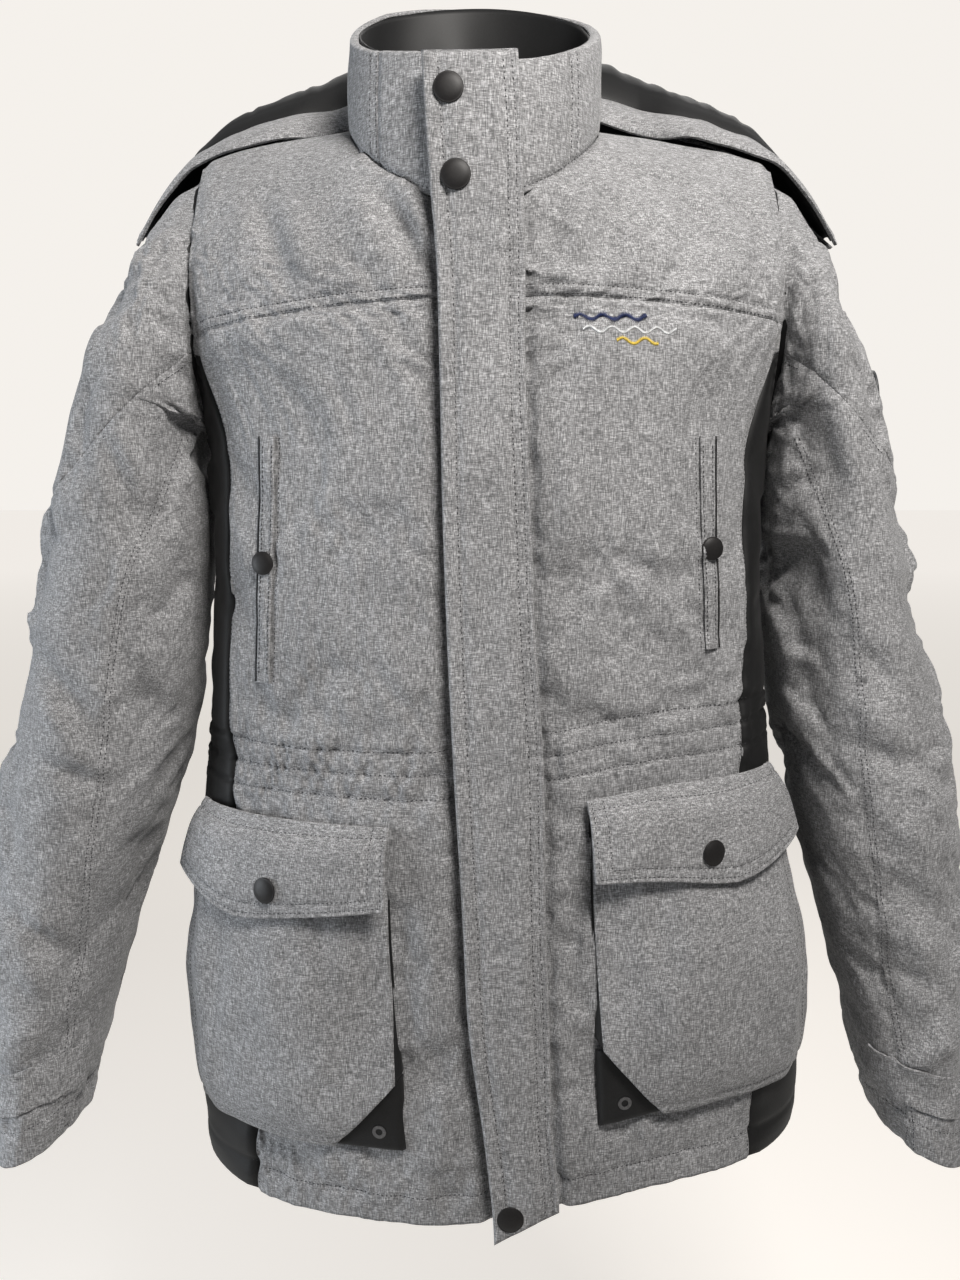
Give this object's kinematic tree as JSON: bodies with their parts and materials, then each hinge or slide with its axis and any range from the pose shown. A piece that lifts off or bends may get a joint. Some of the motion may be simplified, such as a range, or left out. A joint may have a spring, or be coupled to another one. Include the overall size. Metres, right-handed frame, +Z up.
{
  "type": "foul weather jacket",
  "caption": "Padded hooded foul weather jacket with stand collar, snap storm flap over a front zip, waist channel, snap welt pockets and bellows cargo pockets.",
  "frame": {"origin": "centre of the neck base where the collar is sewn on, at the neck of the dress form that wears the jacket", "axes": "+Z up along the body, the front closure faces -Y, the wearer's left is +X"},
  "size_m": [0.7596, 0.3154, 0.8974],
  "materials": {
    "melange": "heathered grey plain weave, water-repellent, padded",
    "panel_black": "matte black woven shell",
    "lining_black": "smooth black lining",
    "wadding": "polyester wadding",
    "zip_tape": "black woven tape",
    "zip_teeth": "moulded black plastic",
    "dark_metal": "dark plated metal",
    "snap_cap": "matte black domed cap",
    "badge": "dark embossed disc",
    "embroidery": "satin-stitch thread"
  },
  "bodies": {
    "jacket_body": {"front_panel_left": "melange", "front_panel_right": "melange", "front_yoke_left": "melange", "front_yoke_right": "melange", "back_panel": "melange", "back_yoke": "melange", "side_panel_left": "panel_black", "side_panel_right": "panel_black", "body_insulation": "wadding", "body_lining": "lining_black", "hem_facing": "melange", "waist_channel_left": "melange", "waist_channel_right": "melange", "waist_channel_back": "melange", "collar_front_left": "melange", "collar_front_right": "melange", "collar_back": "melange", "collar_lining": "lining_black", "hanger_loop": "lining_black", "zip_tape_left": "zip_tape", "zip_tape_right": "zip_tape", "zip_teeth_left": "zip_teeth", "zip_teeth_right": "zip_teeth", "wind_guard": "lining_black", "flap_snap_studs": "dark_metal", "cargo_pocket_left": "melange", "cargo_pocket_right": "melange", "pocket_gusset_left": "panel_black", "pocket_gusset_right": "panel_black", "eyelet_left": "dark_metal", "eyelet_right": "dark_metal", "hood_neck_panel": "lining_black", "chest_emblem": "embroidery"},
    "storm_flap": {"storm_flap": "melange", "flap_snap_caps": "snap_cap", "flap_snap_sockets": "dark_metal"},
    "zip_slider": {"zip_slider": "dark_metal"},
    "zip_pull": {"zip_pull": "dark_metal"},
    "cargo_flap_left": {"cargo_flap_left": "melange", "cargo_snap_cap_left": "snap_cap", "cargo_snap_stud_left": "dark_metal"},
    "cargo_flap_right": {"cargo_flap_right": "melange", "cargo_snap_cap_right": "snap_cap", "cargo_snap_stud_right": "dark_metal"},
    "welt_left": {"welt_left": "melange", "welt_snap_left": "snap_cap"},
    "welt_right": {"welt_right": "melange", "welt_snap_right": "snap_cap"},
    "sleeve_left": {"sleeve_left": "melange", "sleeve_cap_left": "melange", "sleeve_lining_left": "lining_black", "sleeve_badge": "badge"},
    "sleeve_right": {"sleeve_right": "melange", "sleeve_cap_right": "melange", "sleeve_lining_right": "lining_black"},
    "cuff_tab_left": {"cuff_tab_left": "melange"},
    "cuff_tab_right": {"cuff_tab_right": "melange"},
    "hood": {"hood_shell": "melange", "hood_lining": "lining_black"}
  },
  "joints": [
    {"name": "storm_flap_open", "type": "hinge", "parent": "jacket_body", "child": "storm_flap", "pos_m": [0.01997, -0.1225, 0.03129], "axis": [-0.0377, 0.0352, 0.9987], "range_deg": [0, 110]},
    {"name": "zip_slide", "type": "slide", "parent": "jacket_body", "child": "zip_slider", "axis": [0.0377, -0.0352, -0.9987], "range_m": [0, 0.72]},
    {"name": "zip_pull_swing", "type": "hinge", "parent": "zip_slider", "child": "zip_pull", "pos_m": [-0.00959, -0.12014, 0.01908], "axis": [-0.0013, -0.9994, 0.0352], "range_deg": [-20, 20]},
    {"name": "cargo_flap_left_lift", "type": "hinge", "parent": "jacket_body", "child": "cargo_flap_left", "pos_m": [0.07716, -0.15729, -0.4435], "axis": [-0.8883, -0.4592, 0], "range_deg": [0, 110]},
    {"name": "cargo_flap_right_lift", "type": "hinge", "parent": "jacket_body", "child": "cargo_flap_right", "pos_m": [-0.07689, -0.15729, -0.4703], "axis": [-0.8883, 0.4592, 0], "range_deg": [0, 110]},
    {"name": "welt_left_open", "type": "hinge", "parent": "jacket_body", "child": "welt_left", "pos_m": [0.146, -0.1063, -0.3518], "axis": [0, -0.0409, -0.9992], "range_deg": [0, 40]},
    {"name": "welt_right_open", "type": "hinge", "parent": "jacket_body", "child": "welt_right", "pos_m": [-0.146, -0.1063, -0.376], "axis": [0, 0.0353, 0.9994], "range_deg": [0, 40]},
    {"name": "sleeve_left_forward", "type": "hinge", "parent": "jacket_body", "child": "sleeve_left", "pos_m": [0.208, -0.005, -0.11], "axis": [-1, 0, 0], "range_deg": [0, 30]},
    {"name": "sleeve_right_forward", "type": "hinge", "parent": "jacket_body", "child": "sleeve_right", "pos_m": [-0.208, -0.005, -0.11], "axis": [-1, 0, 0], "range_deg": [0, 30]},
    {"name": "cuff_tab_left_open", "type": "hinge", "parent": "sleeve_left", "child": "cuff_tab_left", "pos_m": [0.31413, -0.08148, -0.6903], "axis": [0.213, -0.062, -0.9751], "range_deg": [0, 60]},
    {"name": "cuff_tab_right_open", "type": "hinge", "parent": "sleeve_right", "child": "cuff_tab_right", "pos_m": [-0.31413, -0.08148, -0.6903], "axis": [0.213, 0.062, 0.9751], "range_deg": [0, 60]},
    {"name": "hood_lift", "type": "hinge", "parent": "jacket_body", "child": "hood", "pos_m": [-0.009, -0.045, -0.01], "axis": [1, 0, 0], "range_deg": [0, 100]}
  ]
}
